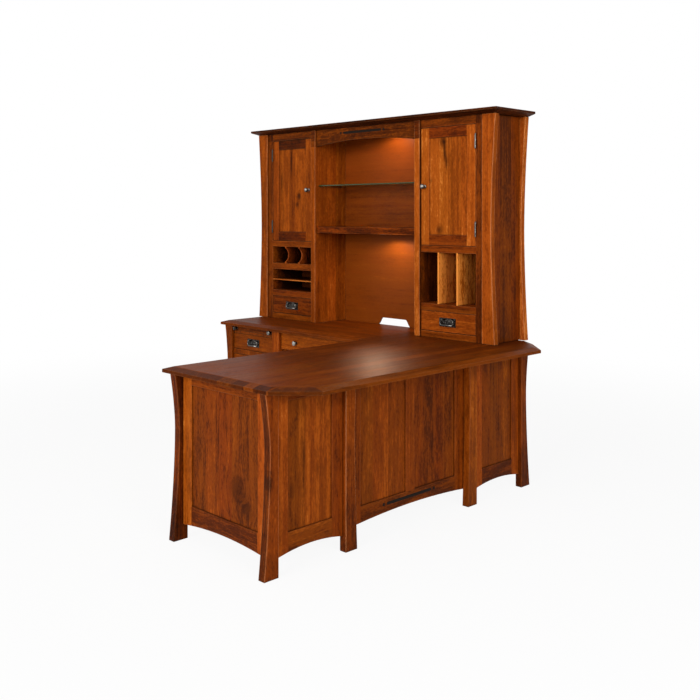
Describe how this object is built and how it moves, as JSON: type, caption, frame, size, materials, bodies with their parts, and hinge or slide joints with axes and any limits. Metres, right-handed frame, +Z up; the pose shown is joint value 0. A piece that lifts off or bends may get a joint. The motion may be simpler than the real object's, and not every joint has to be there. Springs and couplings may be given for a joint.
{
  "type": "l-shaped desk with hutch",
  "caption": "Wooden L-shaped office desk: clipped-corner desk wing, credenza wing with drawers and a tall hutch with doors, pigeonholes and shelves; legs and posts have a hollow curved edge.",
  "frame": {"origin": "on the floor, in the middle of the object's box", "axes": "+Z up, +Y towards the wall behind the hutch, +X towards the visitor side of the desk wing"},
  "size_m": [2.157, 1.874, 1.99],
  "materials": {
    "wood_top": "dark stained, satin",
    "wood_leg": "stained, satin",
    "wood_frame": "stained, satin",
    "wood_panel": "stained, satin",
    "wood_rail": "stained, satin",
    "wood_front": "stained, satin",
    "wood_inside": "stained, dull",
    "bronze": "dark oil-rubbed",
    "glass": "polished"
  },
  "bodies": {
    "stand": {"desk_top": "wood_top", "credenza_top": "wood_top", "hutch_crown": "wood_top", "desk_leg_end_user": "wood_leg", "desk_leg_end_visitor": "wood_leg", "desk_leg_knee_user": "wood_leg", "desk_leg_knee_visitor": "wood_leg", "desk_leg_return_knee": "wood_leg", "desk_leg_return_back": "wood_leg", "credenza_leg_front_end": "wood_leg", "credenza_leg_front_knee": "wood_leg", "credenza_leg_back_end": "wood_leg", "credenza_leg_back_knee": "wood_leg", "hutch_post_front_left": "wood_leg", "hutch_post_front_right": "wood_leg", "hutch_post_back_left": "wood_leg", "hutch_post_back_right": "wood_leg", "end_frame": "wood_frame", "side_frame": "wood_frame", "modesty_frame": "wood_frame", "return_frame": "wood_frame", "credenza_end_frame": "wood_frame", "hutch_case_left": "wood_frame", "hutch_case_right": "wood_frame", "hutch_partition_left": "wood_frame", "hutch_partition_right": "wood_frame", "end_panel": "wood_panel", "side_panel": "wood_panel", "modesty_panel_front": "wood_panel", "modesty_panel_back": "wood_panel", "return_panel": "wood_panel", "credenza_end_panel": "wood_panel", "hutch_side_left": "wood_panel", "hutch_side_right": "wood_panel", "hutch_back": "wood_panel", "hutch_header": "wood_rail", "hutch_shelf": "wood_rail", "glass_shelf": "glass", "desk_case": "wood_inside", "return_case": "wood_inside", "credenza_case": "wood_inside", "credenza_back": "wood_inside"},
    "left_door": {"hutch_door_left": "wood_front", "hutch_knob_left": "bronze"},
    "right_door": {"hutch_door_right": "wood_front", "hutch_knob_right": "bronze"},
    "desk_box": {"desk_box_drawer": "wood_front"},
    "desk_file": {"desk_file_drawer": "wood_front"},
    "credenza_box": {"credenza_box_drawer": "wood_front"},
    "credenza_file": {"credenza_file_drawer": "wood_front"},
    "pencil": {"pencil_drawer": "wood_front"},
    "board": {"writing_board": "wood_front"},
    "left_drawer": {"hutch_drawer_left": "wood_front"},
    "right_drawer": {"hutch_drawer_right": "wood_front"},
    "desk_box_handle": {"desk_box_bail": "bronze"},
    "desk_file_handle": {"desk_file_bail": "bronze"},
    "credenza_box_handle": {"credenza_box_bail": "bronze"},
    "credenza_file_handle": {"credenza_file_bail": "bronze"},
    "left_drawer_handle": {"hutch_bail_left": "bronze"},
    "right_drawer_handle": {"hutch_bail_right": "bronze"}
  },
  "joints": [
    {"name": "left_door_hinge", "type": "hinge", "parent": "stand", "child": "left_door", "pos_m": [-0.9122, 0.6282, 1.5927], "axis": [0, 0, -1], "range_deg": [0, 110]},
    {"name": "right_door_hinge", "type": "hinge", "parent": "stand", "child": "right_door", "pos_m": [0.7422, 0.6282, 1.5927], "axis": [0, 0, 1], "range_deg": [0, 110]},
    {"name": "desk_box_slide", "type": "slide", "parent": "stand", "child": "desk_box", "axis": [-1, 0, 0], "range_m": [0, 0.42]},
    {"name": "desk_file_slide", "type": "slide", "parent": "stand", "child": "desk_file", "axis": [-1, 0, 0], "range_m": [0, 0.42]},
    {"name": "credenza_box_slide", "type": "slide", "parent": "stand", "child": "credenza_box", "axis": [0, -1, 0], "range_m": [0, 0.34]},
    {"name": "credenza_file_slide", "type": "slide", "parent": "stand", "child": "credenza_file", "axis": [0, -1, 0], "range_m": [0, 0.34]},
    {"name": "pencil_slide", "type": "slide", "parent": "stand", "child": "pencil", "axis": [0, -1, 0], "range_m": [0, 0.25]},
    {"name": "board_slide", "type": "slide", "parent": "stand", "child": "board", "axis": [0, -1, 0], "range_m": [0, 0.28]},
    {"name": "left_drawer_slide", "type": "slide", "parent": "stand", "child": "left_drawer", "axis": [0, -1, 0], "range_m": [0, 0.16]},
    {"name": "right_drawer_slide", "type": "slide", "parent": "stand", "child": "right_drawer", "axis": [0, -1, 0], "range_m": [0, 0.16]},
    {"name": "desk_box_bail_swing", "type": "hinge", "parent": "desk_box", "child": "desk_box_handle", "pos_m": [0.253, -0.675, 0.6247], "axis": [0, 1, 0], "range_deg": [0, 80]},
    {"name": "desk_file_bail_swing", "type": "hinge", "parent": "desk_file", "child": "desk_file_handle", "pos_m": [0.253, -0.675, 0.4447], "axis": [0, 1, 0], "range_deg": [0, 80]},
    {"name": "credenza_box_bail_swing", "type": "hinge", "parent": "credenza_box", "child": "credenza_box_handle", "pos_m": [-0.763, 0.3385, 0.6527], "axis": [-1, 0, 0], "range_deg": [0, 80]},
    {"name": "credenza_file_bail_swing", "type": "hinge", "parent": "credenza_file", "child": "credenza_file_handle", "pos_m": [-0.763, 0.3385, 0.5027], "axis": [-1, 0, 0], "range_deg": [0, 80]},
    {"name": "left_drawer_bail_swing", "type": "hinge", "parent": "left_drawer", "child": "left_drawer_handle", "pos_m": [-0.7222, 0.6215, 0.869], "axis": [-1, 0, 0], "range_deg": [0, 80]},
    {"name": "right_drawer_bail_swing", "type": "hinge", "parent": "right_drawer", "child": "right_drawer_handle", "pos_m": [0.5522, 0.6215, 0.869], "axis": [-1, 0, 0], "range_deg": [0, 80]}
  ]
}
